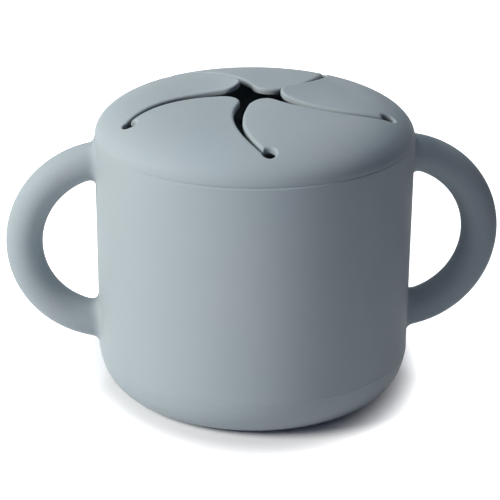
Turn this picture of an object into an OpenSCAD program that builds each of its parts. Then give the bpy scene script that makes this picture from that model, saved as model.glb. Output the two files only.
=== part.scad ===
// Soft silicone snack container for a toddler: a two-handled cup and a push-in lid whose
// domed top is cut into five petals that a small hand can push through.
// Millimetres. The origin is the centre of the base, +Z is up and the handles lie along X.

/* [Cup] */
// Outside diameter of the cup at its rim, and of the lid
cup_d = 86; // [80:0.5:92]
// Height of the rim, where the lid rests
cup_h = 71.8; // [64:0.2:80]
// How far the wall leans in between the rim and the rounded base
wall_lean = 0.6; // [0:0.1:3]
// Thickness of the side wall
wall_t = 2.5; // [2.2:0.1:3]
// Thickness of the floor
floor_t = 3; // [2:0.1:5]
// Width of the rounding round the base
base_round_w = 10.5; // [8:0.25:13]
// Height of the rounding round the base
base_round_h = 12.75; // [9:0.25:14]
// Bevel on each edge of the seam between cup and lid
seam_bevel = 0.4; // [0.2:0.05:0.6]

/* [Handles] */
// Thickness of a handle
handle_d = 9.9; // [8:0.1:12]
// Bend radius of a handle, along its middle
handle_bend_r = 23.3; // [20:0.1:25]
// How far the centre of the bend lies inside the wall
handle_inset = 4; // [2:0.1:9]
// Drop from the seam to the crown of a handle
handle_drop = 0.8; // [0:0.1:3]
// Width of the flare where a handle joins the wall
handle_flare = 2; // [1:0.1:3]

/* [Lid] */
// Rise of the dome above the seam
dome_rise = 10.9; // [9:0.1:13]
// Fullness of the dome's shoulder, where 2 is an ellipse
dome_fullness = 3.48; // [3:0.02:4]
// Thickness of the dome at its middle
dome_t = 1.8; // [1.4:0.1:2.4]
// Thickness of the dome at its edge
shoulder_t = 3; // [2.5:0.1:3.4]
// Depth of the skirt that pushes into the cup
skirt_h = 9; // [7.5:0.5:14]
// Thickness of the skirt
skirt_t = 1.4; // [1:0.1:1.6]
// Clearance between the skirt and the cup's mouth
skirt_gap = 0.3; // [0.2:0.05:0.4]
// Clearance between the two sealing ribs and the cup's mouth
rib_gap = 0.1; // [0.05:0.05:0.15]
// Width of a sealing rib
rib_w = 1; // [0.6:0.1:1.4]

/* [Petals] */
// Direction of the first slit's round end, in degrees from +X
petal_turn = -90.5; // [-180:0.5:180]
// Distance from the lid's edge to the centre of each slit's round end
slit_inset = 7.1; // [6.2:0.1:8]
// Diameter of the round end of each slit
slit_hole_d = 3.5; // [3.4:0.1:4]
// Width of each slit where it meets its round end
slit_root_w = 0.9; // [0.6:0.1:1.2]
// Width of each slit at the middle of the lid
slit_centre_w = 3.3; // [2.6:0.1:4]
// Sideways shift of the slits at the middle of the lid
slit_centre_shift = 0.55; // [0.3:0.05:0.8]
// How far each slit bows out of a straight line
slit_bow = 5.9; // [5:0.1:6.6]
// Radius that rounds the tip of each petal
petal_tip_r = 4.8; // [3:0.1:6]
// Width of the soft strip that each petal bends along
hinge_w = 3; // [2:0.1:3.2]

/* [Hidden] */
$fn = 96;

silicone = "#9fa9ae";
silicone_bend = "#8b969c";

cup_r = cup_d / 2;
base_r = cup_r - wall_lean;
mouth_r = cup_r - wall_t;

handle_r = handle_d / 2;
handle_x = cup_r - handle_inset;
handle_z = cup_h - handle_drop - handle_r - handle_bend_r;
root_dz = sqrt(handle_bend_r * handle_bend_r - handle_inset * handle_inset);
flare_sink = 0.5;

under_r = cup_r - shoulder_t;
under_rise = dome_rise - dome_t;
skirt_end = cup_h - skirt_h;
skirt_r = mouth_at(skirt_end) - skirt_gap - skirt_t;
rib_first = 2.6;
rib_pitch = 3.6;
rib_crest = 0.4;

petal_n = 5;
petal_step = 360 / petal_n;
hole_r = slit_hole_d / 2;
hole_at = cup_r - slit_inset;
chord_at = hole_at * cos(petal_step / 2);
strip_half = hinge_w / 2;
strip_end = sqrt(hole_r * hole_r - strip_half * strip_half) / 2;
arc_steps = 26;
tip_steps = 12;
dome_steps = 26;
corner_steps = 12;
beyond = 8;

// Points on a piece of an ellipse, from angle a0 to angle a1
function ellipse_arc(cx, cz, rx, rz, a0, a1, n) =
    [for (i = [0:n]) let (a = a0 + (a1 - a0) * i / n) [cx + rx * cos(a), cz + rz * sin(a)]];

// Points on the dome's curve, from polar angle a0 to a1, where 0 is the top and 90 the edge
function dome_arc(r, rise, a0, a1, n) =
    [for (i = [0:n]) let (a = a0 + (a1 - a0) * i / n)
        [r * pow(sin(a), 2 / dome_fullness), cup_h + rise * cos(a)]];

// Polar angle at which the dome's curve of radius r passes through x
function dome_angle(r, x) = asin(pow(x / r, dome_fullness / 2));

// Radius of the cup's inside at height z
function mouth_at(z) =
    mouth_r - wall_lean * (cup_h - z) / (cup_h - base_round_h);

function turned(p, a) = [p[0] * cos(a) - p[1] * sin(a), p[0] * sin(a) + p[1] * cos(a)];

// Circle through p and q that bows by b to the right of the way from p to q: [centre, radius]
function bowed(p, q, b) =
    let (half = norm(q - p) / 2, r = (half * half + b * b) / (2 * b), u = (q - p) / (2 * half))
    [(p + q) / 2 + (r - b) * [-u[1], u[0]], r];

// Crossing of two circles that lies to the left of the way from c1 to c2
function crossing(c1, r1, c2, r2) =
    let (d = norm(c2 - c1), u = (c2 - c1) / d, a = (d * d + r1 * r1 - r2 * r2) / (2 * d))
    c1 + a * u + sqrt(r1 * r1 - a * a) * [-u[1], u[0]];

function angle_of(v) = atan2(v[1], v[0]);

function arc(c, r, a0, a1, n) =
    [for (i = [0:n]) let (a = a0 + (a1 - a0) * i / n) c + r * [cos(a), sin(a)]];

// The two sides of a slit whose round end lies on +X, each as [centre, radius]
near_side = bowed([0, slit_centre_shift + slit_centre_w / 2],
                  [hole_at, slit_root_w - hole_r], slit_bow);
far_side_here = bowed([0, slit_centre_shift - slit_centre_w / 2], [hole_at, -hole_r], slit_bow);
far_side = [turned(far_side_here[0], petal_step), far_side_here[1]];

// The petal lies between the near side of its own slit and the far side of the next one
tip_c = crossing(near_side[0], near_side[1] - petal_tip_r, far_side[0], far_side[1] + petal_tip_r);
side_end_r = hole_at + 0.8 * hole_r;
near_end = crossing(near_side[0], near_side[1], [0, 0], side_end_r);
far_end = crossing(far_side[0], far_side[1], [0, 0], side_end_r);
near_a0 = angle_of(near_end - near_side[0]);
near_a1 = angle_of(tip_c - near_side[0]);
far_a0 = angle_of(tip_c - far_side[0]);
far_a1 = angle_of(far_end - far_side[0]);

petal_outline = concat(
    arc(near_side[0], near_side[1], near_a0, near_a1, arc_steps),
    arc(tip_c, petal_tip_r, near_a1, far_a0 - 180, tip_steps),
    arc(far_side[0], far_side[1], far_a0, far_a1, arc_steps),
    [turned([hole_at + beyond, 0], petal_step), [hole_at + beyond, 0]]);

module cup_outline() {
    polygon(concat(
        [[0, 0]],
        ellipse_arc(base_r - base_round_w, base_round_h, base_round_w, base_round_h,
                    -90, 0, corner_steps),
        [[cup_r, cup_h - seam_bevel], [cup_r - seam_bevel, cup_h], [0, cup_h]]));
}

module cup_inside_outline() {
    inner_r = mouth_at(base_round_h);
    inner_w = base_round_w - wall_t;
    polygon(concat(
        [[0, floor_t]],
        ellipse_arc(inner_r - inner_w, base_round_h, inner_w, base_round_h - floor_t,
                    -90, 0, corner_steps),
        [[mouth_r, cup_h], [mouth_r, cup_h + beyond], [0, cup_h + beyond]]));
}

module cup_body() {
    color(silicone)
    rotate_extrude()
    difference() {
        cup_outline();
        cup_inside_outline();
    }
}

// The space that the cup and the lid fill, taken away from a handle
module cup_envelope() {
    rotate_extrude()
    union() {
        cup_outline();
        translate([0, cup_h - 2 * seam_bevel]) square([cup_r, beyond]);
    }
}

// Fillet round the root of a handle, its axis straight out of the wall and its wide end in it
module handle_root_flare() {
    translate([-flare_sink, 0, 0])
    rotate([0, 90, 0])
    rotate_extrude()
    polygon(concat(
        [[0, -handle_flare], [handle_r + handle_flare, -handle_flare]],
        ellipse_arc(handle_r + handle_flare, handle_flare, handle_flare, handle_flare,
                    -90, -180, 6),
        [[0, handle_flare]]));
}

module handle() {
    difference() {
        union() {
            translate([handle_x, 0, handle_z])
            rotate([90, 0, 0])
            rotate_extrude()
            translate([handle_bend_r, 0]) circle(r = handle_r);
            for (side = [-1, 1])
                translate([cup_r, 0, handle_z + side * root_dz]) handle_root_flare();
        }
        cup_envelope();
        translate([0, -cup_r, cup_h]) cube([cup_d, cup_d, beyond]);
    }
}

module handle_left() {
    color(silicone) rotate([0, 0, 180]) handle();
}

module handle_right() {
    color(silicone) handle();
}

// One sealing rib on the skirt's outside, its crest at height z
function rib(z) = [
    [mouth_at(z) - skirt_gap, z + rib_w / 2],
    [mouth_at(z) - rib_gap, z + rib_w / 2 * rib_crest],
    [mouth_at(z) - rib_gap, z - rib_w / 2 * rib_crest],
    [mouth_at(z) - skirt_gap, z - rib_w / 2]];

module lid_outline() {
    edge_a = acos(seam_bevel / dome_rise);
    under_a = dome_angle(under_r, skirt_r);
    polygon(concat(
        dome_arc(cup_r, dome_rise, 0, edge_a, dome_steps),
        [[cup_r - seam_bevel, cup_h], [mouth_r - skirt_gap, cup_h]],
        rib(cup_h - rib_first),
        rib(cup_h - rib_first - rib_pitch),
        [[mouth_at(skirt_end) - skirt_gap, skirt_end + seam_bevel],
         [mouth_at(skirt_end) - skirt_gap - seam_bevel, skirt_end],
         [skirt_r, skirt_end]],
        dome_arc(under_r, under_rise, under_a, 0, dome_steps)));
}

// The domed skin alone, out to just past the round ends of the slits
module dome_skin() {
    skin_r = hole_at + hole_r;
    rotate_extrude()
    polygon(concat(
        dome_arc(cup_r, dome_rise, 0, dome_angle(cup_r, skin_r), dome_steps),
        dome_arc(under_r, under_rise, dome_angle(under_r, skin_r), 0, dome_steps)));
}

module slit_holes_2d() {
    for (k = [0:petal_n - 1])
        rotate(k * petal_step) translate([hole_at, 0]) circle(r = hole_r);
}

// Everything inside the outer edges of the bending strips, its corners inside the round ends
module petal_field_2d() {
    corner = [hole_at, 0] + strip_half * [cos(petal_step / 2), sin(petal_step / 2)]
             + strip_end * [-sin(petal_step / 2), cos(petal_step / 2)];
    polygon([for (k = [0:petal_n - 1], side = [-1, 1])
        turned([corner[0], side * corner[1]], k * petal_step)]);
}

// The side of the bending strip's inner edge on which a petal's free part lies
module free_side_2d() {
    rotate(petal_step / 2)
    translate([-cup_r, -cup_r])
    square([cup_r + chord_at - strip_half, cup_d]);
}

module petal_2d() {
    difference() {
        intersection() {
            polygon(petal_outline);
            free_side_2d();
        }
        slit_holes_2d();
    }
}

module petal_root_2d() {
    difference() {
        intersection() {
            polygon(petal_outline);
            petal_field_2d();
        }
        free_side_2d();
        slit_holes_2d();
    }
}

module skin_cut_by() {
    intersection() {
        dome_skin();
        translate([0, 0, cup_h]) linear_extrude(dome_rise + beyond) children();
    }
}

module lid_rim() {
    color(silicone)
    difference() {
        rotate_extrude() lid_outline();
        rotate(petal_turn)
        translate([0, 0, cup_h])
        linear_extrude(dome_rise + beyond) {
            petal_field_2d();
            slit_holes_2d();
        }
    }
}

module petal(k) {
    color(silicone) rotate(petal_turn + k * petal_step) skin_cut_by() petal_2d();
}

module petal_root(k) {
    color(silicone_bend) rotate(petal_turn + k * petal_step) skin_cut_by() petal_root_2d();
}

cup_body();
handle_left();
handle_right();
lid_rim();
petal_root(0);  // petal_root_1
petal_root(1);  // petal_root_2
petal_root(2);  // petal_root_3
petal_root(3);  // petal_root_4
petal_root(4);  // petal_root_5
petal(0);  // petal_1
petal(1);  // petal_2
petal(2);  // petal_3
petal(3);  // petal_4
petal(4);  // petal_5
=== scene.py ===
import math

import bpy
import numpy as np
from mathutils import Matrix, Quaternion, Vector
from mathutils.geometry import delaunay_2d_cdt


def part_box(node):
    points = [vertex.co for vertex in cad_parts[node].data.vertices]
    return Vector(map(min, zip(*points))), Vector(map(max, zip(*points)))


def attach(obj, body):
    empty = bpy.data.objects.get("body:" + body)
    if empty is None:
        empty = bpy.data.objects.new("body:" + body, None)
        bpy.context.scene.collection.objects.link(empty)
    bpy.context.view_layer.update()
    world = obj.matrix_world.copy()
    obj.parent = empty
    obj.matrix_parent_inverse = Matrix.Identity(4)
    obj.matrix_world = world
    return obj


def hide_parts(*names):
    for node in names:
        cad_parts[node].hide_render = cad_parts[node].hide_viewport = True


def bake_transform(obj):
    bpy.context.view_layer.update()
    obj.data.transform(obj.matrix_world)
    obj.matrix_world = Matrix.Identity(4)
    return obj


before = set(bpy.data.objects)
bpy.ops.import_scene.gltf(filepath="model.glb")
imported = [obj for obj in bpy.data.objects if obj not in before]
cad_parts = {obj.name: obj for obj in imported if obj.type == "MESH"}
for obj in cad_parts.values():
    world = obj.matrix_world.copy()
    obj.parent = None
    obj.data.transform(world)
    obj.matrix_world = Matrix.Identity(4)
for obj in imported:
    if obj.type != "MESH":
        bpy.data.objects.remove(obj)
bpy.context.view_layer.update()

mm = 0.001  # sizes below are in millimetres where no note says otherwise, finished meshes in metres
scene = bpy.context.scene


def topOf(node):
    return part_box(node)[1].z / mm


cup = {
    "rimRadius": 43.0,
    "wallLean": 0.6,        # how much smaller the radius is where the base's rounding starts
    "wall": 2.5,
    "floor": 3.0,
    "height": topOf("cup_body"),
    "baseRoundWidth": 10.5,
    "baseRoundHeight": 12.75,
    "rimEdge": 0.46,        # rounding of the outer edge at the seam
    "rimInnerEdge": 0.7,
    "seamSide": -98.0,      # the seam is most open on this side and opposite, in degrees
    "seamLeast": 0.14,      # share of the seam's step that is left at the closed sides
    "seamPower": 3.5,       # how quickly it closes towards them
    "partingHeight": 11.6,  # where the two halves of the mould met
    "partingRidge": 0.1,    # how far that line stands out
    "partingWidth": 0.38,
    "partingFade": 2.0,     # the step dies out over this height below
    "partingBand": 6.0,     # rings further than this inside the rim stay round
    "partingEven": 0.72,    # the line is a little stronger in some places than in others:
    "partingWaves": ((0.2, 3, 0.6), (0.1, 17, 2)),  # strength, waves round the cup and their turn
    "steps": 320,
}

# the rings that the cup's outline is made of
cupRings = {
    "base": 8,
    "round": 40,
    "parting": 12,
    "partingReach": 1.5,    # close rings over this many half widths of the parting line
    "partingClear": 1.6,    # and none of the rounding's own rings within this many
    "wall": 25,
    "wallAbove": 2.0,       # from this far above the rounding
    "wallBelow": 0.6,       # to this far below the rim's own rounding
    "edge": 6,
    "inside": 13,
    "insideEnds": (0.97, 0.03),  # from near the lip to near the floor's corner
    "corner": 16,
    "floor": 7,
}


def wallRadius(z):
    # outside of the cup at height z, for a number or an array
    z = np.asarray(z, float)
    foot = cup["baseRoundHeight"]
    lower = cup["rimRadius"] - cup["wallLean"]
    straight = lower + cup["wallLean"] * (z - foot) / (cup["height"] - foot)
    drop = np.clip((foot - z) / foot, 0, 1)
    rounded = lower - cup["baseRoundWidth"] * (1 - np.sqrt(1 - drop ** 2))
    return np.where(z >= foot, straight, rounded)


def ellipseArc(cx, cz, rx, rz, fromDeg, toDeg, n):
    a = np.radians(np.linspace(fromDeg, toDeg, n + 1))
    return np.column_stack([cx + rx * np.cos(a), cz + rz * np.sin(a)])


def newPiece(name, verts, faces, sharpEdges=()):
    # sharpEdges are pairs of vertex numbers
    mesh = bpy.data.meshes.new(name)
    mesh.from_pydata((np.asarray(verts) * mm).tolist(), [], [list(map(int, f)) for f in faces])
    mesh.validate()
    mesh.shade_smooth()
    sharp = {tuple(sorted(e)) for e in sharpEdges}
    if sharp:
        for edge in mesh.edges:
            if tuple(sorted(edge.vertices)) in sharp:
                edge.use_edge_sharp = True
    piece = bpy.data.objects.new(name, mesh)
    scene.collection.objects.link(piece)
    return piece


def mergeVerts(verts, faces, gap=0.002):
    # joins points that lie on each other, and drops faces that fold up
    verts = np.asarray(verts, float)
    keys = np.round(verts / gap).astype(np.int64)
    _, first, back = np.unique(keys, axis=0, return_index=True, return_inverse=True)
    back = back.reshape(-1)
    kept = []
    for f in faces:
        g = []
        for v in f:
            w = int(back[v])
            if w not in g:
                g.append(w)
        if len(g) > 2:
            kept.append(g)
    return verts[first], kept, back


def revolved(profile, steps, radiusShift):
    # turns an outline of (radius, height) round the axis; radius 0 becomes a single point
    verts, rings = [], []
    angles = np.linspace(0, 2 * math.pi, steps, endpoint=False)
    for i, (r, z) in enumerate(profile):
        if r < 1e-6:
            rings.append([len(verts)] * steps)
            verts.append((0, 0, z))
            continue
        rr = r + radiusShift(i, angles)
        rings.append(list(range(len(verts), len(verts) + steps)))
        verts += list(zip(rr * np.cos(angles), rr * np.sin(angles), np.full(steps, z)))
    faces = []
    for a, b in zip(rings, rings[1:]):
        for j in range(steps):
            k = (j + 1) % steps
            quad = [a[j], a[k], b[k], b[j]]
            quad = [v for n, v in enumerate(quad) if v != quad[n - 1]]
            if len(quad) > 2:
                faces.append(quad)
    return verts, faces


def cupProfile():
    # from the axis under the base, up the outside, over the rim and down the inside to the axis
    foot, roundWidth = cup["baseRoundHeight"], cup["baseRoundWidth"]
    rim, edge = cup["rimRadius"], cup["rimEdge"]
    h, inner = cup["height"], cup["rimInnerEdge"]
    lower = rim - cup["wallLean"]
    rounding = ellipseArc(lower - roundWidth, foot, roundWidth, foot, -90, 0, cupRings["round"])
    flat = [(r, 0.0) for r in np.linspace(0, rounding[0][0], cupRings["base"] + 1)[:-1]]
    # close rings across the parting line, in place of the rounding's own
    ridge, half = cup["partingHeight"], cup["partingWidth"] / 2
    reach = cupRings["partingReach"]
    across = ridge + half * np.linspace(-reach, reach, cupRings["parting"] + 1)
    outside = [p for p in rounding if abs(p[1] - ridge) > half * cupRings["partingClear"]]
    outside += [(float(wallRadius(z)), z) for z in across]
    outside.sort(key=lambda p: p[1])
    low, high = foot + cupRings["wallAbove"], h - edge - cupRings["wallBelow"]
    outside += [(float(wallRadius(z)), z) for z in np.linspace(low, high, cupRings["wall"] + 1)]
    outside += list(ellipseArc(rim - edge, h - edge, edge, edge, 0, 90, cupRings["edge"]))
    mouth = rim - cup["wall"]
    lip = list(ellipseArc(mouth + inner, h - inner, inner, inner, 90, 180, cupRings["edge"]))
    innerFoot = lower - cup["wall"]
    innerWidth = roundWidth - cup["wall"]
    inside = [(innerFoot + (mouth - innerFoot) * t, foot + (h - inner - foot) * t)
              for t in np.linspace(*cupRings["insideEnds"], cupRings["inside"] + 1)]
    cornerAt, innerHeight = innerFoot - innerWidth, foot - cup["floor"]
    corner = list(ellipseArc(cornerAt, foot, innerWidth, innerHeight, 0, -90, cupRings["corner"]))
    floorLine = [(r, cup["floor"]) for r in np.linspace(corner[-1][0], 0, cupRings["floor"] + 1)[1:]]
    return flat + outside + lip + inside + corner + floorLine


def seamShare(angles):
    # 1 where the seam is most open, at front and back, and nearly 0 at the sides
    facing = np.abs(np.cos(angles - math.radians(cup["seamSide"])))
    return np.maximum(facing ** cup["seamPower"], cup["seamLeast"])


def makeCup():
    profile = cupProfile()
    ridge, half, fade = cup["partingHeight"], cup["partingWidth"] / 2, cup["partingFade"]
    rim, edge = cup["rimRadius"], cup["rimEdge"]

    def surfaceShift(i, angles):
        # how far the rings at the seam and at the parting line stand out
        r, z = profile[i]
        if z > cup["height"] - edge and r > rim - edge - 0.001:
            return (rim - r) * (1 - seamShare(angles))
        if r < rim - cup["partingBand"] or not ridge - fade < z < ridge + half:
            return 0 * angles
        above, below = 1 - ((z - ridge) / half) ** 2, (1 - (ridge - z) / fade) ** 2
        waves = (share * np.sin(count * angles + turn) for share, count, turn in cup["partingWaves"])
        return cup["partingRidge"] * (above if z > ridge else below) * sum(waves, cup["partingEven"])

    piece = newPiece("cupMoulding", *revolved(profile, cup["steps"], surfaceShift))
    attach(piece, "cup")
    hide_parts("cup_body")
    return piece


handle = {
    "thickness": 9.9,
    "bendRadius": 23.3,
    "inset": 4.0,          # the loop's centre lies this far inside the rim
    "drop": 0.8,           # and its top this far below it
    "fillet": 2.3,         # how far the root flares out along the wall
    "leastFillet": 0.12,   # where the rim is too near for more
    "belowRim": 0.1,       # the flare stays this far below the rim
    "leastRise": 0.05,     # where the flare rises less than this, the rim is no limit
    "flareStart": 1.15,    # the flare starts this many fillets clear of the wall
    "skin": 0.012,         # how far the end of the flare stands on the wall
    "sink": 0.7,           # how deep the hidden end goes into the wall
    "sinkSpread": 0.4,     # and how far it spreads there, in fillets
    "reachAngle": 112,     # the tube meets the wall before this, in degrees round the loop
    "halvings": 48,        # how often the search for that place halves its range
    "around": 72,
    "along": 110,
    "filletSteps": 12,
}


def handlePoint(bend, phi):
    # point on the tube: bend goes round the loop, phi round the tube
    r = handle["thickness"] / 2
    centreX = cup["rimRadius"] - handle["inset"]
    centreZ = cup["height"] - handle["drop"] - r - handle["bendRadius"]
    reach = handle["bendRadius"] + r * np.cos(phi)
    return np.stack([centreX + reach * np.cos(bend),
                     r * np.sin(phi) + 0 * bend,
                     centreZ + reach * np.sin(bend)], axis=-1)


def outOfWall(p):
    return np.hypot(p[..., 0], p[..., 1]) - wallRadius(p[..., 2])


def bendWhere(clearance, phi, side):
    # how far round the loop each line of the tube is that much clear of the wall
    low, high = np.zeros_like(phi), np.full_like(phi, math.radians(handle["reachAngle"]))
    for _ in range(handle["halvings"]):
        middle = (low + high) / 2
        outside = outOfWall(handlePoint(side * middle, phi)) > clearance
        low = np.where(outside, middle, low)
        high = np.where(outside, high, middle)
    return side * (low + high) / 2


def onWall(s, z, lift):
    r = wallRadius(z)
    a = s / cup["rimRadius"]
    return np.stack([(r + lift) * np.cos(a), (r + lift) * np.sin(a), z], axis=-1)


def handleEnd(phi, side):
    # rings of the flared root, from the tube out onto the wall and then into it
    hit = handlePoint(bendWhere(0.0, phi, side), phi)
    s = np.arctan2(hit[:, 1], hit[:, 0]) * cup["rimRadius"]
    z = hit[:, 2]
    midZ = (z.max() + z.min()) / 2
    away = np.column_stack([s, z - midZ])
    away /= np.linalg.norm(away, axis=1)[:, None]
    room = cup["height"] - handle["belowRim"] - z
    size = np.full(len(phi), handle["fillet"])
    up = away[:, 1] > handle["leastRise"]
    size[up] = np.minimum(size[up], np.maximum(room[up] / away[up, 1], handle["leastFillet"]))
    ends = onWall(s + away[:, 0] * size, z + away[:, 1] * size, handle["skin"])
    startBend = bendWhere(size * handle["flareStart"], phi, side)
    start = handlePoint(startBend, phi)
    rings = []
    for t in np.linspace(0, 1, handle["filletSteps"] + 1):
        rings.append((1 - t) ** 2 * start + 2 * t * (1 - t) * hit + t * t * ends)
    deep = handle["sinkSpread"]
    hidden = onWall(s + away[:, 0] * size * deep, z + away[:, 1] * size * deep, -handle["sink"])
    return startBend, rings, hidden


def makeHandle(name, node, turn):
    n = handle["around"]
    phi = np.linspace(0, 2 * math.pi, n, endpoint=False)
    topBend, topRings, topHidden = handleEnd(phi, 1)
    lowBend, lowRings, lowHidden = handleEnd(phi, -1)
    rings = [lowHidden] + lowRings[::-1]
    for t in np.linspace(0, 1, handle["along"] + 1)[1:-1]:
        rings.append(handlePoint(lowBend + (topBend - lowBend) * t, phi))
    rings += topRings + [topHidden]
    verts = np.concatenate(rings)
    verts = np.column_stack([turned(verts[:, :2], turn), verts[:, 2]])
    faces = []
    for i in range(len(rings) - 1):
        for j in range(n):
            k = (j + 1) % n
            faces.append([i * n + j, i * n + k, (i + 1) * n + k, (i + 1) * n + j])
    last = (len(rings) - 1) * n
    faces.append(list(range(n))[::-1])
    faces.append([last + j for j in range(n)])
    sharp = [(n + j, n + (j + 1) % n) for j in range(n)]
    sharp += [(last - n + j, last - n + (j + 1) % n) for j in range(n)]
    piece = newPiece(name, verts, faces, sharp)
    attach(piece, "cup")
    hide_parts(node)
    return piece


lid = {
    "rise": topOf("petal_1") - topOf("cup_body"),
    "fullness": 3.48,      # a higher power makes the dome flatter on top and steeper at its edge
    "skin": 1.8,           # thickness in the middle
    "shoulder": 3.0,       # thickness at the edge
    "skirtDepth": 9.0,
    "skirt": 1.4,
    "skirtEdge": 0.5,      # rounding of the skirt's lower edge
    "skirtGap": 0.3,
    "skirtCorner": 0.1,    # bevel where the skirt starts
    "ledge": 0.9,          # a ring on the flat above the cup's rim, this far outside the mouth
    "ribGap": 0.1,
    "ribs": (2.6, 6.2),    # how deep the two ribs are
    "ribWidth": 1.0,
    "ribReach": 1.2,       # a rib's rings go this many half widths either way
    "seamStep": cup["rimEdge"],  # how far the lid's edge stays inside the cup's at the seam
    "seamFade": 4.6,       # height over which it comes out again
    "seamStops": (0.82, 0.65, 0.5, 0.36, 0.23, 0.11, 0),  # rings at these shares of that height
    "ringAt": 39.6,        # where the slit part of the dome meets the plain edge
    "steps": 240,
    "domeSteps": 21,
    "ribSteps": 10,
    "edgeSteps": 5,
    "skirtSteps": 10,
}

slit = {
    "count": 5,
    "turn": -90.5,         # of the front slit's hole, in degrees
    "inset": 7.1,          # the holes lie this far inside the rim
    "holeRadius": 1.75,
    "rootWidth": 0.9,      # width of a slit at its hole
    "centreWidth": 3.3,    # and in the middle of the lid
    "centreShift": 0.55,   # how far a slit passes beside the middle
    "bow": 5.9,            # how far the slits bow off a straight line
    "tipRadius": 4.8,
    "hinge": 3.0,          # width of the strip where a petal bends
    "topEdge": 0.75,       # rounding of the cut edges above
    "land": 0.65,          # flat of the cut left between the two roundings
    "underEdge": 1.05,     # largest rounding below
}

# spacing of the points that the skin of the lid is made of
skinPoints = {
    "hole": 0.22,
    "side": 0.5,
    "tip": 0.3,
    "rootEnd": (0.08, 0.2, 0.35, 0.5, 0.8, 1.2),  # from either end of a petal's root line
    "rootMiddleFrom": 1.8,
    "rootMiddle": 30,
    "edgeRows": (0.06, 0.14, 0.24, 0.36, 0.5, 0.75, 1.1),  # rows along every free edge
    "edgeShare": 0.93,     # share of its own distance that a row's point has to keep
    "edgeOther": 0.12,     # and its least distance from the other edges
    "edgeZone": 1.2,
    "grid": 1.15,          # side of the even triangles in between
    "gridRow": 0.866,      # their height as a share of that
    "gridGaps": (1.6, 0.55),  # their least distance from the free edges and from the others
    "gridFold": 0.45,      # and from the strip where a petal bends
    "foldRows": 10,        # straight rows across that strip
    "foldStep": 0.8,
    "foldGaps": (1.3, 0.2),
    "closest": 0.045,      # points nearer to each other than this become one
    "batch": 400,          # points measured at a time, which keeps the memory small
}

petalStep = math.radians(360 / slit["count"])
holeAt = cup["rimRadius"] - slit["inset"]
chordAt = holeAt * math.cos(petalStep / 2)
halfHinge = slit["hinge"] / 2


def domeHeight(r, radius, rise):
    return cup["height"] + rise * np.sqrt(np.clip(1 - (r / radius) ** lid["fullness"], 0, 1))


def domeTop(r):
    return domeHeight(np.asarray(r, float), cup["rimRadius"], lid["rise"])


def domeUnder(r):
    return domeHeight(np.asarray(r, float), cup["rimRadius"] - lid["shoulder"], lid["rise"] - lid["skin"])


def turned(points, angle):
    points = np.asarray(points, float)
    c, s = math.cos(angle), math.sin(angle)
    x, y = points[..., 0], points[..., 1]
    return np.stack([c * x - s * y, s * x + c * y], axis=-1)


def outAndAlong(angle):
    # steps of length 1 towards that angle and across it
    out = np.array([math.cos(angle), math.sin(angle)])
    return out, np.array([-out[1], out[0]])


def bowed(p, q, bow):
    # circle through p and q that bows to the right of the way from p to q
    p, q = np.array(p, float), np.array(q, float)
    half = np.linalg.norm(q - p) / 2
    radius = (half ** 2 + bow ** 2) / (2 * bow)
    u = (q - p) / (2 * half)
    return (p + q) / 2 + (radius - bow) * np.array([-u[1], u[0]]), radius


def crossing(c1, r1, c2, r2):
    # crossing of two circles to the left of the way from c1 to c2
    c1, c2 = np.array(c1, float), np.array(c2, float)
    d = np.linalg.norm(c2 - c1)
    u = (c2 - c1) / d
    a = (d * d + r1 * r1 - r2 * r2) / (2 * d)
    return c1 + a * u + math.sqrt(r1 * r1 - a * a) * np.array([-u[1], u[0]])


def angleOf(v):
    return math.atan2(v[1], v[0])


def arcPoints(centre, radius, a0, a1, spacing):
    n = max(3, int(abs(a1 - a0) * radius / spacing))
    a = np.linspace(a0, a1, n + 1)
    return np.column_stack([centre[0] + radius * np.cos(a), centre[1] + radius * np.sin(a)])


def upTo(angle, start):
    # the same angle, the first time at or after start
    return start + (angle - start) % (2 * math.pi)


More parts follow.
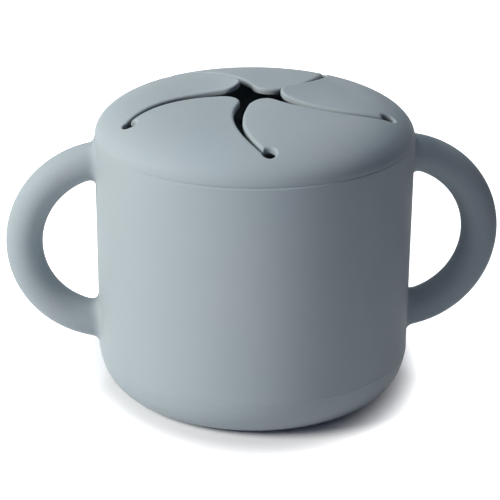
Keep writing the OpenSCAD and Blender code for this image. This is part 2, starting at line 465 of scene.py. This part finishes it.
def petalEdges():
    # the free edge of one petal and its root line, with the slit it starts at on +X
    holeR, tipR = slit["holeRadius"], slit["tipRadius"]
    shift, halfCentre = slit["centreShift"], slit["centreWidth"] / 2
    nearC, nearR = bowed((0, shift + halfCentre), (holeAt, slit["rootWidth"] - holeR), slit["bow"])
    farC, farR = bowed((0, shift - halfCentre), (holeAt, -holeR), slit["bow"])
    farC = turned(farC, petalStep)
    tip = crossing(nearC, nearR - tipR, farC, farR + tipR)
    hole, nextHole = np.array([holeAt, 0.0]), turned([holeAt, 0.0], petalStep)
    nearStart = crossing(hole, holeR, nearC, nearR)
    farEnd = crossing(nextHole, holeR, farC, farR)
    out, along = outAndAlong(petalStep / 2)
    reach = math.sqrt(holeR ** 2 - halfHinge ** 2)
    rootStart = hole + halfHinge * out + reach * along
    rootEnd = nextHole + halfHinge * out - reach * along
    holeStep, sideStep = skinPoints["hole"], skinPoints["side"]
    a0, a1 = angleOf(rootStart - hole), angleOf(nearStart - hole)
    holePart = arcPoints(hole, holeR, a0, upTo(a1, a0), holeStep)
    nearPart = arcPoints(nearC, nearR, angleOf(nearStart - nearC), angleOf(tip - nearC), sideStep)
    b0 = angleOf(tip - nearC)
    b1 = angleOf(tip - farC) + math.pi
    b1 -= 2 * math.pi * round((b1 - b0 + math.pi / 2) / (2 * math.pi))
    tipPart = arcPoints(tip, tipR, b0, b1, skinPoints["tip"])
    farPart = arcPoints(farC, farR, angleOf(tip - farC), angleOf(farEnd - farC), sideStep)
    c0, c1 = angleOf(farEnd - nextHole), angleOf(rootEnd - nextHole)
    endPart = arcPoints(nextHole, holeR, c0, upTo(c1, c0), holeStep)
    free = np.concatenate([holePart[:-1], nearPart[:-1], tipPart[:-1], farPart[:-1], endPart])
    length = np.linalg.norm(rootEnd - rootStart)
    close = np.array(skinPoints["rootEnd"])
    first = skinPoints["rootMiddleFrom"]
    middle = np.linspace(first, length - first, skinPoints["rootMiddle"])
    stops = np.concatenate([close, middle, length - close[::-1]]) / length
    root = rootEnd + stops[:, None] * (rootStart - rootEnd)
    # the ring's share of the hole at +X, from the last petal's corner to this one's
    share = arcPoints(hole, holeR, -a0, a0, holeStep)
    return {"free": free, "root": root, "share": share}


def segments(line, closed=False):
    following = np.roll(line, -1, axis=0) if closed else line[1:]
    return np.stack([line if closed else line[:-1], following], axis=1)


def gapTo(points, segs):
    # distance from each point to the nearest of the segments
    gap, batch = np.zeros(len(points)), skinPoints["batch"]
    a, d = segs[None, :, 0, :], (segs[:, 1] - segs[:, 0])[None]
    for start in range(0, len(points), batch):
        p = points[start:start + batch, None, :]
        t = np.clip(((p - a) * d).sum(-1) / np.maximum((d * d).sum(-1), 1e-12), 0, 1)
        gap[start:start + batch] = np.linalg.norm(p - a - t[..., None] * d, axis=-1).min(1)
    return gap


def within(points, loops):
    # even-odd test against all the loops at once
    odd = np.zeros(len(points), bool)
    for loop in loops:
        for (x0, y0), (x1, y1) in segments(loop, True):
            if y0 == y1:
                continue
            crosses = (points[:, 1] > min(y0, y1)) & (points[:, 1] <= max(y0, y1))
            odd ^= crosses & (points[:, 0] < x0 + (points[:, 1] - y0) * (x1 - x0) / (y1 - y0))
    return odd


def facesInside(faces, loops):
    # walks in from the outer border and changes side at every crossing of an outline
    outline = {tuple(sorted(pair)) for loop in loops for pair in zip(loop, loop[1:] + loop[:1])}
    beside = {}
    for n, f in enumerate(faces):
        for pair in zip(f, f[1:] + f[:1]):
            beside.setdefault(tuple(sorted(pair)), []).append(n)
    inside = {}
    queue = []
    for pair, around in beside.items():
        if len(around) == 1 and around[0] not in inside:
            inside[around[0]] = pair in outline
            queue.append(around[0])
    while queue:
        n = queue.pop()
        f = faces[n]
        for pair in zip(f, f[1:] + f[:1]):
            pair = tuple(sorted(pair))
            for other in beside[pair]:
                if other not in inside:
                    inside[other] = inside[n] != (pair in outline)
                    queue.append(other)
    return np.array([f for n, f in enumerate(faces) if inside[n]])


def clearOf(points, loops, freeSegs, otherSegs, freeGap, otherGap):
    # the points inside the loops that keep these distances from the free edges and the others
    points = points[within(points, loops)]
    return points[(gapTo(points, freeSegs) > freeGap) & (gapTo(points, otherSegs) > otherGap)]


def edgePoints(loops, freeSegs, otherSegs):
    # close rows beside every outline, kept only along the free edges
    rows, share, other = [], skinPoints["edgeShare"], skinPoints["edgeOther"]
    for loop in loops:
        ahead = np.roll(loop, -1, axis=0) - np.roll(loop, 1, axis=0)
        normal = np.column_stack([-ahead[:, 1], ahead[:, 0]])
        normal /= np.maximum(np.linalg.norm(normal, axis=1), 1e-9)[:, None]
        for sign in (-1, 1):
            for d in skinPoints["edgeRows"]:
                row = clearOf(loop + sign * d * normal, loops, freeSegs, otherSegs, d * share, other)
                rows.append(row[gapTo(row, freeSegs) < skinPoints["edgeZone"]])
    return rows


def gridPoints(low, high):
    step = skinPoints["grid"]
    rows = np.arange(low[1], high[1], step * skinPoints["gridRow"])
    return np.array([[x + (i % 2) * step / 2, y] for i, y in enumerate(rows)
                     for x in np.arange(low[0], high[0], step)])


def foldPoints(out):
    # straight rows across the strip where a petal bends, so that the bend stays even
    across, step = np.array([-out[1], out[0]]), skinPoints["foldStep"]
    rows = np.linspace(-halfHinge, halfHinge, skinPoints["foldRows"] + 1)[:-1]
    return np.array([(chordAt + d) * out + (t + i % 2 * step / 2) * across
                     for i, d in enumerate(rows) for t in np.arange(-chordAt, chordAt, step)])


def filledOutline(loops, freeSegs, otherSegs, foldAlong=None):
    # flat mesh of the area inside the loops; foldAlong points from the middle to a petal's root
    onLoops = np.concatenate(loops)
    grid = gridPoints(onLoops.min(0), onLoops.max(0))
    grid = clearOf(grid, loops, freeSegs, otherSegs, *skinPoints["gridGaps"])
    rows = edgePoints(loops, freeSegs, otherSegs)
    if foldAlong is not None:
        grid = grid[np.abs(grid @ foldAlong - chordAt) > halfHinge + skinPoints["gridFold"]]
        fold = foldPoints(foldAlong)
        rows.append(clearOf(fold, loops, freeSegs, otherSegs, *skinPoints["foldGaps"]))
    loose = np.concatenate(rows + [grid])
    cells = np.round(loose / skinPoints["closest"]).astype(int)
    _, first = np.unique(cells, axis=0, return_index=True)
    points = np.concatenate([onLoops, loose[np.sort(first)]])
    outlineEdges, start = [], 0
    for loop in loops:
        n = len(loop)
        outlineEdges += [(start + i, start + (i + 1) % n) for i in range(n)]
        start += n
    verts, _, faces, original, _, _ = delaunay_2d_cdt(
        [Vector(p) for p in points], outlineEdges, [], 0, 1e-7, True)
    verts = np.array([tuple(v) for v in verts])
    where = {old: new for new, olds in enumerate(original) for old in olds}
    newLoops, start = [], 0
    for loop in loops:
        newLoops.append([where[start + i] for i in range(len(loop))])
        start += len(loop)
    faces = facesInside([f for f in faces if len(f) == 3], newLoops)
    used = np.unique(np.concatenate([faces.reshape(-1)] + [np.array(l) for l in newLoops]))
    renumber = -np.ones(len(verts), int)
    renumber[used] = np.arange(len(used))
    return verts[used], renumber[faces], [[int(renumber[v]) for v in l] for l in newLoops]


def edgeDrop(gap, size):
    # how far a rounded edge falls at that distance from the cut
    inside = np.clip(size - gap, 0, size)
    return size - np.sqrt(np.maximum(size ** 2 - inside ** 2, 0))


edges = petalEdges()
lidTurn = math.radians(slit["turn"])
petalTurns = [lidTurn + k * petalStep for k in range(slit["count"])]
allShares = np.concatenate([segments(turned(edges["share"], turn)) for turn in petalTurns])
allFree = np.concatenate([segments(turned(edges["free"], turn)) for turn in petalTurns] + [allShares])


def skinHeights(points):
    # top and underside of the slit dome, with the cut edges rounded
    r = np.hypot(points[:, 0], points[:, 1])
    gap = gapTo(points, allFree)
    top, under = domeTop(r), domeUnder(r)
    below = np.minimum(top - under - slit["topEdge"] - slit["land"], slit["underEdge"])
    return top - edgeDrop(gap, slit["topEdge"]), under + edgeDrop(gap, below)


def orientedUp(flat, faces):
    # triangles whose corners all run the same way round, seen from above
    a, b, c = flat[faces[:, 0]], flat[faces[:, 1]], flat[faces[:, 2]]
    cross = (b[:, 0] - a[:, 0]) * (c[:, 1] - a[:, 1]) - (b[:, 1] - a[:, 1]) * (c[:, 0] - a[:, 0])
    return [list(map(int, f if w > 0 else f[::-1])) for f, w in zip(faces, cross)]


# how each petal sits at rest: soft petals never close quite level
# lift, pull and slide are at the tip, in millimetres: up, back towards the root, and sideways
# twist raises one side edge over the other, and a higher curl keeps the rise near the tip
petalPose = [
    {"name": "petalFrontRight", "lift": 2.9, "pull": 1.5, "slide": -0.8, "twist": 7.0, "curl": 1.6},
    {"name": "petalRight", "lift": 3.1, "pull": 1.9, "slide": 0.1, "twist": 7.6, "curl": 1.0},
    {"name": "petalBackRight", "lift": 0.6, "pull": 0.0, "slide": 0.0, "twist": 1.8, "curl": 1.6},
    {"name": "petalBackLeft", "lift": 3.9, "pull": 2.0, "slide": 0.3, "twist": -1.2, "curl": 2.8},
    {"name": "petalFrontLeft", "lift": 1.0, "pull": 1.0, "slide": 0.4, "twist": 1.3, "curl": 3.0},
]
softStart = 0.12  # how gently each petal leaves the dome at its root
twistCurl = 1.5


def makePetal(k):
    pose, turn = petalPose[k], petalTurns[k]
    free, root = turned(edges["free"], turn), turned(edges["root"], turn)
    loop = np.concatenate([free, root])
    rootLine = np.concatenate([free[-1:], root, free[:1]])
    out, along = outAndAlong(turn + petalStep / 2)
    flat, faces, (ring,) = filledOutline([loop], segments(free), segments(rootLine), out)
    top, under = skinHeights(flat)
    inward = np.clip((chordAt - flat @ out - halfHinge) / chordAt, 0, 1)
    sideways = flat @ along / chordAt
    bent = (inward ** 2 / (inward + softStart) * (1 + softStart)) ** pose["curl"]
    rise = pose["lift"] * bent + pose["twist"] * sideways * inward ** twistCurl
    moved = flat + bent[:, None] * (pose["pull"] * out + pose["slide"] * along)
    n = len(flat)
    verts = np.concatenate([np.column_stack([moved, top + rise]), np.column_stack([moved, under + rise])])
    tops = orientedUp(flat, faces)
    unders = [[c + n, b + n, a + n] for a, b, c in tops]
    sides = [[b, b + n, a + n, a] for a, b in zip(ring, ring[1:] + ring[:1])]
    rootFrom = len(free) - 1
    sharp = [(ring[rootFrom], ring[rootFrom] + n), (ring[0], ring[0] + n)]
    for a, b in zip(ring[rootFrom:], ring[rootFrom + 1:] + ring[:1]):
        sharp += [(a, b), (a + n, b + n)]
    piece = newPiece(pose["name"], verts, tops + unders + sides, sharp)
    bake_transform(piece)
    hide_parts(f"petal_{k + 1}", f"petal_root_{k + 1}")
    return piece


def lidOutside():
    # the plain edge of the lid: dome, seam edge, shoulder, ribbed skirt, back up to the underside
    rim, h, rise, gap = cup["rimRadius"], cup["height"], lid["rise"], lid["skirtGap"]
    foot = cup["baseRoundHeight"]

    def mouthAt(z):
        return rim - cup["wall"] - cup["wallLean"] * (h - z) / (h - foot)

    full = lid["fullness"] / 2
    fromAngle = math.asin((lid["ringAt"] / rim) ** full)
    a = list(np.linspace(fromAngle, math.acos(lid["seamFade"] / rise), lid["domeSteps"] + 1))
    a += [math.acos(lid["seamFade"] * t / rise) for t in lid["seamStops"]]
    profile = [(rim * math.sin(t) ** (1 / full), h + rise * math.cos(t)) for t in a]
    profile[0] = (lid["ringAt"], float(domeTop(lid["ringAt"])))
    corner = len(profile) - 1
    skirtStart, bevel, reach = mouthAt(h) - gap, lid["skirtCorner"], lid["ribReach"]
    profile += [(mouthAt(h) + lid["ledge"], h), (skirtStart + bevel, h), (skirtStart, h - bevel)]
    for depth in lid["ribs"]:
        for t in np.linspace(-reach, reach, lid["ribSteps"] + 1):
            z = h - depth - t * lid["ribWidth"] / 2
            bulge = math.sqrt(max(0.0, 1 - t * t)) * (gap - lid["ribGap"])
            profile.append((mouthAt(z) - gap + bulge, z))
    skirtEnd, soft = h - lid["skirtDepth"], lid["skirtEdge"]
    outer = mouthAt(skirtEnd) - gap
    inner = outer - lid["skirt"]
    low = skirtEnd + soft
    profile += list(ellipseArc(outer - soft, low, soft, soft, 0, -90, lid["edgeSteps"]))
    profile += list(ellipseArc(inner + soft, low, soft, soft, -90, -180, lid["edgeSteps"]))
    top = float(domeUnder(inner))
    profile += [(inner, low + (top - low) * t) for t in np.linspace(0, 1, lid["skirtSteps"] + 1)[1:]]
    return profile, inner, corner


def makeLidEdge():
    profile, inner, corner = lidOutside()
    steps = lid["steps"]
    angles = np.linspace(0, 2 * math.pi, steps, endpoint=False)
    circle = np.column_stack([np.cos(angles), np.sin(angles)])
    hole, rootSegs = [], []
    for turn in petalTurns:
        share, root = turned(edges["share"], turn), turned(edges["root"], turn)[::-1]
        hole += [share, root]
        nextShare = turned(edges["share"][:1], turn + petalStep)
        rootSegs.append(segments(np.concatenate([share[-1:], root, nextShare])))
    hole = np.concatenate(hole)
    verts, faces, sharp, loopsAt = [], [], [], []
    for radius, upper in ((lid["ringAt"], True), (inner, False)):
        otherSegs = np.concatenate(rootSegs + [segments(circle * radius, True)])
        flat, tri, (holeRing, _) = filledOutline([hole, circle * radius], allShares, otherSegs)
        heights = skinHeights(flat)[0 if upper else 1]
        start = len(verts)
        verts += list(np.column_stack([flat, heights]))
        up = orientedUp(flat, tri)
        faces += [[v + start for v in (f if upper else f[::-1])] for f in up]
        loopsAt.append([v + start for v in holeRing])
    n = len(hole)
    count = len(edges["share"]) + len(edges["root"])
    for i in range(n):
        a, b = loopsAt[0][i], loopsAt[0][(i + 1) % n]
        c, d = loopsAt[1][i], loopsAt[1][(i + 1) % n]
        faces.append([a, b, d, c])
        if i % count >= len(edges["share"]) - 1:
            sharp += [(a, b), (c, d)]
    start = len(verts)

    def stepIn(i, angles):
        z = profile[i][1] - cup["height"]
        if i > corner or z > lid["seamFade"]:
            return 0 * angles
        return -lid["seamStep"] * (1 - z / lid["seamFade"]) ** 2 * seamShare(angles)

    ringVerts, ringFaces = revolved(profile, steps, stepIn)
    verts += ringVerts
    faces += [[v + start for v in f[::-1]] for f in ringFaces]
    cornerRing = [start + corner * steps + j for j in range(steps)]
    sharp += list(zip(cornerRing, cornerRing[1:] + cornerRing[:1]))
    verts, faces, back = mergeVerts(verts, faces)
    sharp = [(int(back[a]), int(back[b])) for a, b in sharp]
    piece = newPiece("lidEdge", verts, faces, sharp)
    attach(piece, "lid")
    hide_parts("lid_rim")
    return piece


# one silicone for the whole thing, in linear colour
silicone = {
    "base": (0.350, 0.399, 0.417),
    "cooler": (0.331, 0.387, 0.419),
    "warmer": (0.365, 0.405, 0.412),
    "speckle": 1.12,       # brightness of the specks' colour against the base
    "speckleShare": 0.12,  # at most this much of it is mixed in
    "shine": 0.12,
    "index": 1.41,
    "roughness": 0.58,
    "roughnessSpread": 0.10,
    "cloudSize": 26.0,     # soft changes of tint
    "slowClouds": 2.4,     # times that size, the places where the tint is plainer
    "slowShare": (0.2, 0.8),  # least and most of the plain base there
    "roughClouds": 3.0,    # the roughness changes in patches that many times smaller
    "speckleSize": 0.9,    # fine unevenness of tint
    "grainSize": 0.16,     # matte grain left by the mould
    "grainHeight": 0.006,
    "waveSize": 14.0,      # slow waves of soft moulded rubber
    "waveHeight": 0.035,
    "translucency": 0.06,
    "glowDepth": 1.5,
}


def node(tree, kind, **inputs):
    n = tree.nodes.new(kind)
    for name, value in inputs.items():
        n.inputs[name].default_value = value
    return n


def wired(tree, kind, operation, *values):
    # a node of one operation, each input fed by another node or by a plain value
    n = tree.nodes.new(kind)
    n.operation = operation
    for socket, value in zip(n.inputs, values):
        if isinstance(value, bpy.types.NodeSocket):
            tree.links.new(value, socket)
        else:
            socket.default_value = value
    return n.outputs


def noise(tree, coords, size, detail=3.0):
    n = node(tree, "ShaderNodeTexNoise", Scale=1 / (size * mm), Detail=detail, Roughness=0.5)
    tree.links.new(coords, n.inputs["Vector"])
    return n.outputs["Fac"]


def mapped(tree, value, fromMin, fromMax, toMin=0.0, toMax=1.0):
    n = tree.nodes.new("ShaderNodeMapRange")
    for name, limit in (("From Min", fromMin), ("From Max", fromMax), ("To Min", toMin), ("To Max", toMax)):
        n.inputs[name].default_value = limit
    tree.links.new(value, n.inputs["Value"])
    return n.outputs["Result"]


noiseMiddle = (0.3, 0.7)  # most of a noise lies between these


def spread(tree, value, low, high):
    # a noise, stretched so that its middle runs from low to high
    return mapped(tree, value, *noiseMiddle, low, high)


def mixColour(tree, share, first, second):
    # of a colour mix, input 0 is the share and inputs 6 and 7 and output 2 are colours
    n = tree.nodes.new("ShaderNodeMix")
    n.data_type = "RGBA"
    tree.links.new(share, n.inputs[0])
    for socket, value in ((n.inputs[6], first), (n.inputs[7], second)):
        if isinstance(value, tuple):
            socket.default_value = (*value, 1)
        else:
            tree.links.new(value, socket)
    return n.outputs[2]


def bump(tree, height, distance):
    n = node(tree, "ShaderNodeBump", Strength=1.0, Distance=distance * mm)
    tree.links.new(height, n.inputs["Height"])
    return n


def makeSilicone(name, look):
    material = bpy.data.materials.new(name)
    material.use_nodes = True
    tree = material.node_tree
    shader = tree.nodes["Principled BSDF"]
    coords = tree.nodes.new("ShaderNodeTexCoord").outputs["Object"]
    cloud = look["cloudSize"]
    clouds = spread(tree, noise(tree, coords, cloud), 0, 1)
    speckle = spread(tree, noise(tree, coords, look["speckleSize"], detail=4.0), 0, 1)
    tint = mixColour(tree, clouds, look["cooler"], look["warmer"])
    slowClouds = spread(tree, noise(tree, coords, cloud * look["slowClouds"]), *look["slowShare"])
    even = mixColour(tree, slowClouds, tint, look["base"])
    specks = spread(tree, speckle, 0.0, look["speckleShare"])
    colour = mixColour(tree, specks, even, tuple(c * look["speckle"] for c in look["base"]))
    tree.links.new(colour, shader.inputs["Base Color"])
    low = look["roughness"] - look["roughnessSpread"] / 2
    high = look["roughness"] + look["roughnessSpread"] / 2
    roughness = spread(tree, noise(tree, coords, cloud / look["roughClouds"], detail=4.0), low, high)
    tree.links.new(roughness, shader.inputs["Roughness"])
    wave = bump(tree, noise(tree, coords, look["waveSize"], detail=1.0), look["waveHeight"])
    grain = bump(tree, noise(tree, coords, look["grainSize"], detail=2.0), look["grainHeight"])
    tree.links.new(wave.outputs["Normal"], grain.inputs["Normal"])
    tree.links.new(grain.outputs["Normal"], shader.inputs["Normal"])
    shader.inputs["IOR"].default_value = look["index"]
    shader.inputs["Specular IOR Level"].default_value = look["shine"]
    shader.inputs["Subsurface Weight"].default_value = look["translucency"]
    shader.inputs["Subsurface Radius"].default_value = (1.0, 1.0, 1.0)
    shader.inputs["Subsurface Scale"].default_value = look["glowDepth"] * mm
    return material


studio = {
    "floorSize": 6.0,      # in metres, as are the places and sizes of the lamps
    "floorColour": (0.94, 0.935, 0.94),
    "shadeColour": (0.32, 0.32, 0.32),
    "shadeFrom": 45.0,     # the paper darkens from here to the right, and keeps that side of the cup dark
    "shadeAt": 190.0,
    "whiteCentre": (-1.3, 18.9, 0.0),
    "whiteWide": 0.68,     # width of an oval round that centre, as a share of its depth
    "whiteFrom": 55.6,     # half depth of the oval from which the floor turns white
    "whiteAt": 73.5,       # and of the one where it is all white
    "whiteCurve": 2.2,
    "worldColour": (0.5, 0.55, 1.0),
    "worldStrength": 0.04,
    "lampAim": (0, 0, 0.04),  # in metres
}

lamps = [
    {"name": "keyLamp", "place": (-1.05, -0.36, 0.70), "size": 0.6,
     "power": 17.4, "colour": (1.0, 0.99, 0.96)},
    {"name": "topLamp", "place": (-0.1, 0.25, 1.1), "size": 0.7,
     "power": 4.6, "colour": (0.84, 0.92, 1.0)},
    {"name": "frontLamp", "place": (-0.2, -1.2, 0.05), "size": 0.5,
     "power": 1.1, "colour": (0.45, 0.53, 1.0)},
]

cameraView = {
    "frame": 500,
    "focal": 2382.0,       # in pixels of that frame
    "distance": 651.5,
    "elevation": 21.72,
    "turn": 6.46,
    "aim": (0, 0, 38.1),
    "roll": 0.55,
    "shiftX": -0.0074,
    "shiftY": 0.0011,
    "sensor": 36.0,
    "clip": (0.05, 20),    # in metres
}


def seenAsBackground(tree):
    # 1 for what the camera sees of a surface, straight on, in a reflection or through something
    rays = tree.nodes.new("ShaderNodeLightPath").outputs
    seen = rays["Is Camera Ray"]
    for kind in ("Is Glossy Ray", "Is Transmission Ray"):
        seen = wired(tree, "ShaderNodeMath", "MAXIMUM", seen, rays[kind])[0]
    return seen


def makeFloor():
    half = studio["floorSize"] / 2
    corners = [(-half, -half, 0), (half, -half, 0), (half, half, 0), (-half, half, 0)]
    mesh = bpy.data.meshes.new("floor")
    mesh.from_pydata(corners, [], [(0, 1, 2, 3)])
    floor = bpy.data.objects.new("floor", mesh)
    scene.collection.objects.link(floor)
    material = bpy.data.materials.new("palePaper")
    material.use_nodes = True
    tree = material.node_tree
    tree.nodes.remove(tree.nodes["Principled BSDF"])
    paper = tree.nodes.new("ShaderNodeBsdfDiffuse")
    coords = tree.nodes.new("ShaderNodeTexCoord").outputs["Object"]
    sideways = tree.nodes.new("ShaderNodeSeparateXYZ")
    tree.links.new(coords, sideways.inputs[0])
    shade = mapped(tree, sideways.outputs["X"], studio["shadeFrom"] * mm, studio["shadeAt"] * mm)
    colour = mixColour(tree, shade, studio["floorColour"], studio["shadeColour"])
    tree.links.new(colour, paper.inputs["Color"])
    # the paper glows white where the camera sees it, outside the oval of the shadow
    centre = [v * mm for v in studio["whiteCentre"]]
    aside = wired(tree, "ShaderNodeVectorMath", "SUBTRACT", coords, centre)["Vector"]
    squeeze = (1 / studio["whiteWide"], 1, 1)
    oval = wired(tree, "ShaderNodeVectorMath", "MULTIPLY", aside, squeeze)["Vector"]
    away = wired(tree, "ShaderNodeVectorMath", "LENGTH", oval)["Value"]
    ramp = mapped(tree, away, studio["whiteFrom"] * mm, studio["whiteAt"] * mm)
    curve = wired(tree, "ShaderNodeMath", "POWER", ramp, studio["whiteCurve"])[0]
    level = wired(tree, "ShaderNodeMath", "MULTIPLY", seenAsBackground(tree), curve)[0]
    glow = node(tree, "ShaderNodeEmission", Color=(1, 1, 1, 1))
    tree.links.new(level, glow.inputs["Strength"])
    both = tree.nodes.new("ShaderNodeAddShader")
    tree.links.new(paper.outputs[0], both.inputs[0])
    tree.links.new(glow.outputs[0], both.inputs[1])
    tree.links.new(both.outputs[0], tree.nodes["Material Output"].inputs["Surface"])
    mesh.materials.append(material)


def makeWorld():
    world = bpy.data.worlds.new("studioAir")
    scene.world = world
    world.use_nodes = True
    tree = world.node_tree
    soft = tree.nodes["Background"]
    soft.inputs["Color"].default_value = (*studio["worldColour"], 1)
    soft.inputs["Strength"].default_value = studio["worldStrength"]
    white = node(tree, "ShaderNodeBackground", Color=(1, 1, 1, 1), Strength=1.0)
    pick = tree.nodes.new("ShaderNodeMixShader")
    tree.links.new(seenAsBackground(tree), pick.inputs[0])
    tree.links.new(soft.outputs[0], pick.inputs[1])
    tree.links.new(white.outputs[0], pick.inputs[2])
    tree.links.new(pick.outputs[0], tree.nodes["World Output"].inputs["Surface"])


def makeLamp(lamp):
    data = bpy.data.lights.new(lamp["name"], "AREA")
    data.shape = "DISK"
    data.size = lamp["size"]
    data.energy = lamp["power"]
    data.color = lamp["colour"]
    light = bpy.data.objects.new(lamp["name"], data)
    light.location = lamp["place"]
    way = Vector(studio["lampAim"]) - Vector(lamp["place"])
    light.rotation_euler = way.to_track_quat("-Z", "Y").to_euler()
    scene.collection.objects.link(light)


def makeCamera():
    view = cameraView
    data = bpy.data.cameras.new("camera")
    data.sensor_width = view["sensor"]
    data.lens = view["focal"] / view["frame"] * view["sensor"]
    data.shift_x, data.shift_y = view["shiftX"], view["shiftY"]
    data.clip_start, data.clip_end = view["clip"]
    camera = bpy.data.objects.new("camera", data)
    scene.collection.objects.link(camera)
    turn, up = math.radians(view["turn"]), math.radians(view["elevation"])
    back = Vector((-math.sin(turn) * math.cos(up), -math.cos(turn) * math.cos(up), math.sin(up)))
    aim = Vector(view["aim"]) * mm
    camera.location = aim + back * view["distance"] * mm
    facing = (-back).to_track_quat("-Z", "Y") @ Quaternion((0, 0, 1), math.radians(view["roll"]))
    camera.rotation_euler = facing.to_euler()
    scene.camera = camera


pieces = [makeCup()]
print("cup done")
pieces += [makeHandle("handleRight", "handle_right", 0.0), makeHandle("handleLeft", "handle_left", math.pi)]
print("handles done")
pieces += [makeLidEdge()] + [makePetal(k) for k in range(slit["count"])]
print("lid done")
rubber = makeSilicone("dustyBlueSilicone", silicone)
for piece in pieces:
    piece.data.materials.append(rubber)
print("silicone done")
makeFloor()
makeWorld()
for lamp in lamps:
    makeLamp(lamp)
makeCamera()
scene.view_settings.view_transform = "Standard"
print("studio done")
